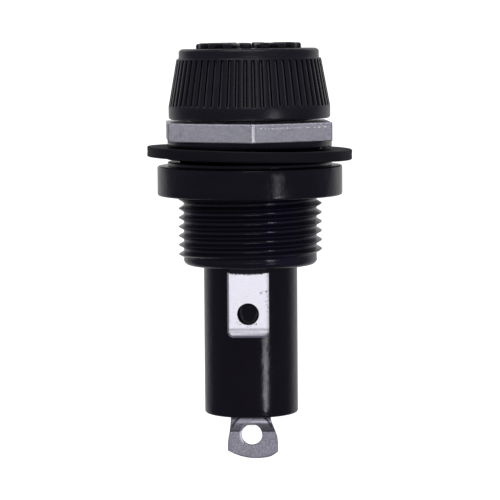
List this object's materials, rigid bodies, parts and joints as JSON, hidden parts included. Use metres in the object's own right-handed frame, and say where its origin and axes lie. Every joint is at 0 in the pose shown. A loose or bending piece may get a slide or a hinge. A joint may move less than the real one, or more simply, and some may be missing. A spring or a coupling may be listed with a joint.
{
  "type": "panel-mount cartridge fuse holder",
  "caption": "Panel-mount holder for a cartridge fuse, with a fluted screw-in knob, a metal hex, a rubber washer, a round nut on a threaded barrel, and a side and an end terminal.",
  "frame": {"origin": "on the holder's axis, at the top face of the body's flange, where the metal hex sits", "axes": "+Z along the axis towards the knob; -Y is the way the side terminal faces; +X to the right seen from the side terminal"},
  "size_m": [0.0318, 0.0316, 0.064],
  "materials": {
    "black_phenolic": "smooth moulded black, semi-gloss",
    "black_knob": "moulded black, satin",
    "zinc_plate": "dull grey plated metal with faint machining marks",
    "bright_tin": "bright tin plate",
    "dull_tin": "dull tin plate",
    "rubber": "matt black rubber",
    "brass": "plain turned brass",
    "bronze": "spring bronze strip",
    "steel": "plated steel",
    "nickel_plate": "nickel plate",
    "link_metal": "bare strip",
    "fuse_fibre": "pale insulating tube"
  },
  "bodies": {
    "holder": {"body": "black_phenolic", "hex_collar": "zinc_plate", "contact_shell": "brass", "side_terminal": "bright_tin", "shell_rivet": "steel", "contact_seat": "brass", "end_rivet": "steel", "lock_washer": "steel", "end_terminal": "dull_tin"},
    "fuse": {"fuse_tube": "fuse_fibre", "fuse_cap_top": "nickel_plate", "fuse_cap_bottom": "nickel_plate", "fuse_element": "link_metal"},
    "knob_assembly": {"knob": "black_knob", "knob_sleeve": "brass", "fuse_clip": "bronze", "knob_screw": "steel"},
    "washer": {"rubber_washer": "rubber"},
    "nut": {"mounting_nut": "black_phenolic"},
    "plunger": {"contact_plunger": "brass", "contact_spring": "steel"}
  },
  "joints": [
    {"name": "fuse_rise", "type": "slide", "parent": "holder", "child": "fuse", "axis": [0, 0, 1], "range_m": [0, 0.04]},
    {"name": "knob_turn", "type": "hinge", "parent": "fuse", "child": "knob_assembly", "pos_m": [0, 0, 0.0084], "axis": [0, 0, 1], "range_deg": [0, 4530]},
    {"name": "washer_follow", "type": "slide", "parent": "holder", "child": "washer", "axis": [0, 0, 1], "range_m": [-0.049, 0]},
    {"name": "nut_turn", "type": "hinge", "parent": "washer", "child": "nut", "pos_m": [0, 0, -0.006], "axis": [0, 0, 1], "range_deg": [-12456, 0]},
    {"name": "contact_press", "type": "slide", "parent": "holder", "child": "plunger", "axis": [0, 0, 1], "range_m": [-0.002, 0], "stiffness_N_per_m": 1200, "springref_m": 0.005, "deforming": ["contact_spring"]}
  ],
  "couplings": [
    {"joint": "fuse_rise", "follows": "knob_turn", "m_per_rad": 0.00050532},
    {"joint": "washer_follow", "follows": "nut_turn", "m_per_rad": 0.00022458}
  ]
}
